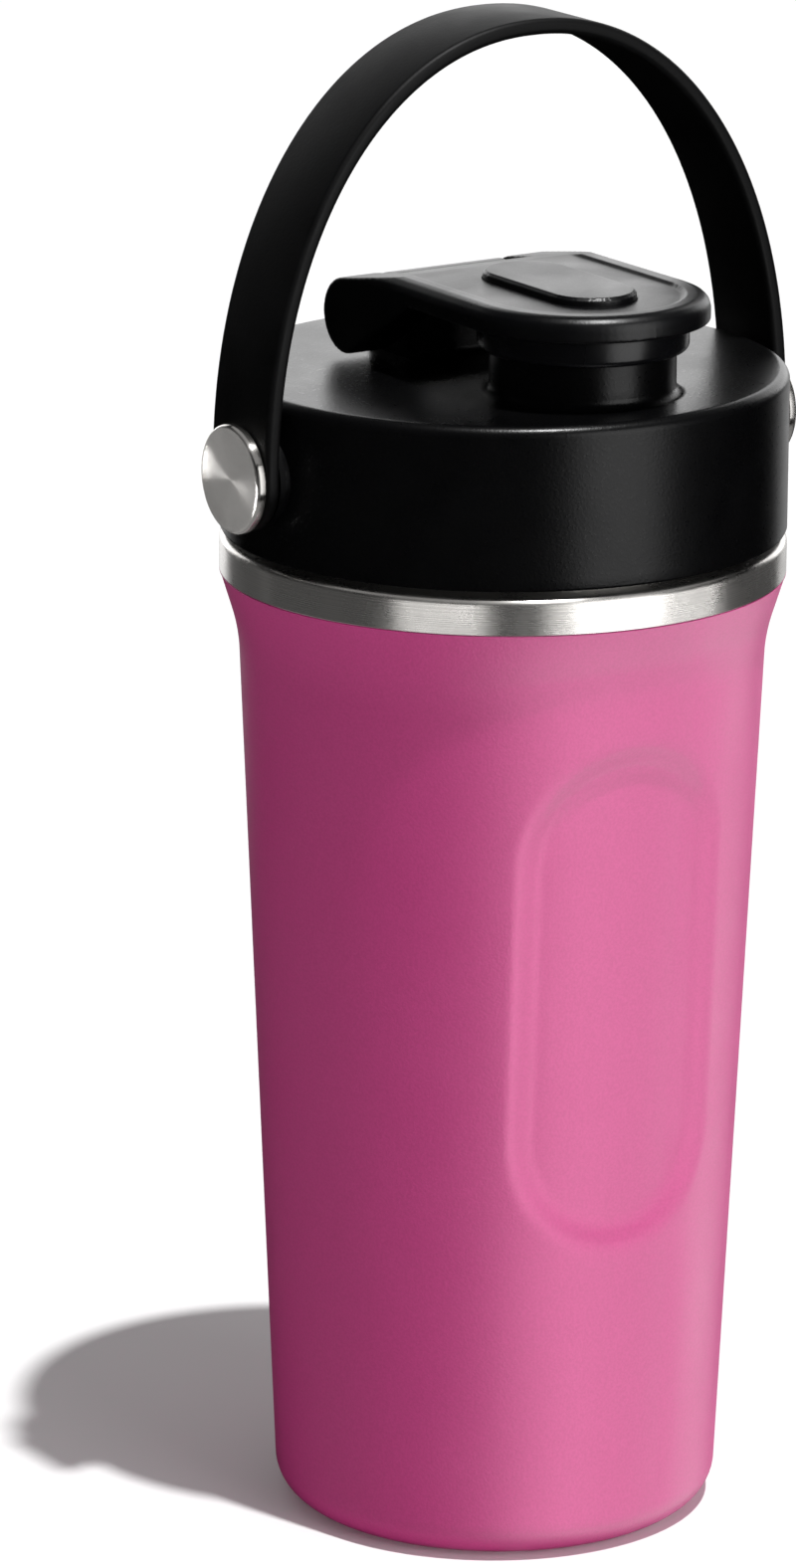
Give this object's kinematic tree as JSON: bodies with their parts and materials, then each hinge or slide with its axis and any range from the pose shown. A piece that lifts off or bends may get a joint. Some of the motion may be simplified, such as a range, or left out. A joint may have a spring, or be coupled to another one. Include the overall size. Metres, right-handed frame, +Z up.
{
  "type": "protein shaker bottle",
  "caption": "Double-walled steel shaker flask with a screw-on lid, flip spout cap, swinging carry strap, pressed thumb grips and a snap-in mixing grid.",
  "frame": {"origin": "centre of the base, on the surface the bottle stands on", "axes": "+Z up the bottle, -Y towards the spout, X along the strap's pivots"},
  "size_m": [0.1042, 0.092, 0.2496],
  "materials": {
    "powder_coat": "satin powder coat with a fine grain",
    "brushed_band": "bare stainless steel, brushed round the band",
    "liner_steel": "electropolished stainless steel",
    "base_steel": "spun stainless steel",
    "getter_metal": "dull sealed metal inside the vacuum",
    "gasket_silicone": "translucent silicone",
    "lid_plastic": "black polypropylene with a fine moulded texture",
    "core_plastic": "black polypropylene",
    "foam": "closed-cell foam",
    "washer_plastic": "grey acetal",
    "spun_steel": "stainless steel turned on a lathe, fine rings",
    "cap_plastic": "black polypropylene, satin",
    "seal_silicone": "glossy black silicone",
    "pin_steel": "drawn stainless steel wire",
    "strap_tpe": "matt black thermoplastic elastomer",
    "grid_plastic": "dark grey polypropylene"
  },
  "bodies": {
    "bottle": {"outer_shell": "powder_coat", "shoulder_ring": "brushed_band", "inner_liner": "liner_steel", "neck_thread": "liner_steel", "base_cap": "base_steel", "getter": "getter_metal", "seal_bead": "getter_metal"},
    "gasket": {"lid_gasket": "gasket_silicone"},
    "lid": {"lid_shell": "lid_plastic", "lid_core": "core_plastic", "lid_thread": "core_plastic", "lid_insulation": "foam", "strap_washer_left": "washer_plastic", "strap_washer_right": "washer_plastic", "pin_cap_left": "spun_steel", "pin_cap_right": "spun_steel"},
    "flip_cap": {"cap_plate": "cap_plastic", "thumb_pad": "cap_plastic", "plug_carrier": "core_plastic", "spout_seal": "seal_silicone", "hinge_pin": "pin_steel"},
    "handle": {"strap": "strap_tpe"},
    "agitator": {"mixing_grid": "grid_plastic"}
  },
  "joints": [
    {"name": "lid_lift", "type": "slide", "parent": "bottle", "child": "gasket", "axis": [0, 0, 1], "range_m": [0, 0.0451]},
    {"name": "lid_turn", "type": "hinge", "parent": "gasket", "child": "lid", "pos_m": [0, 0, 0.175], "axis": [0, 0, 1], "range_deg": [0, 1080]},
    {"name": "cap_flip", "type": "hinge", "parent": "lid", "child": "flip_cap", "pos_m": [0, 0.017, 0.1993], "axis": [-1, 0, 0], "range_deg": [0, 45]},
    {"name": "strap_swing", "type": "hinge", "parent": "lid", "child": "handle", "pos_m": [0, 0, 0.1796], "axis": [1, 0, 0], "range_deg": [-120, 120]},
    {"name": "grid_pull", "type": "slide", "parent": "lid", "child": "agitator", "axis": [0, 0, 1], "range_m": [-0.02, 0]}
  ],
  "couplings": [
    {"joint": "lid_lift", "follows": "lid_turn", "m_per_rad": 0.0023873}
  ]
}
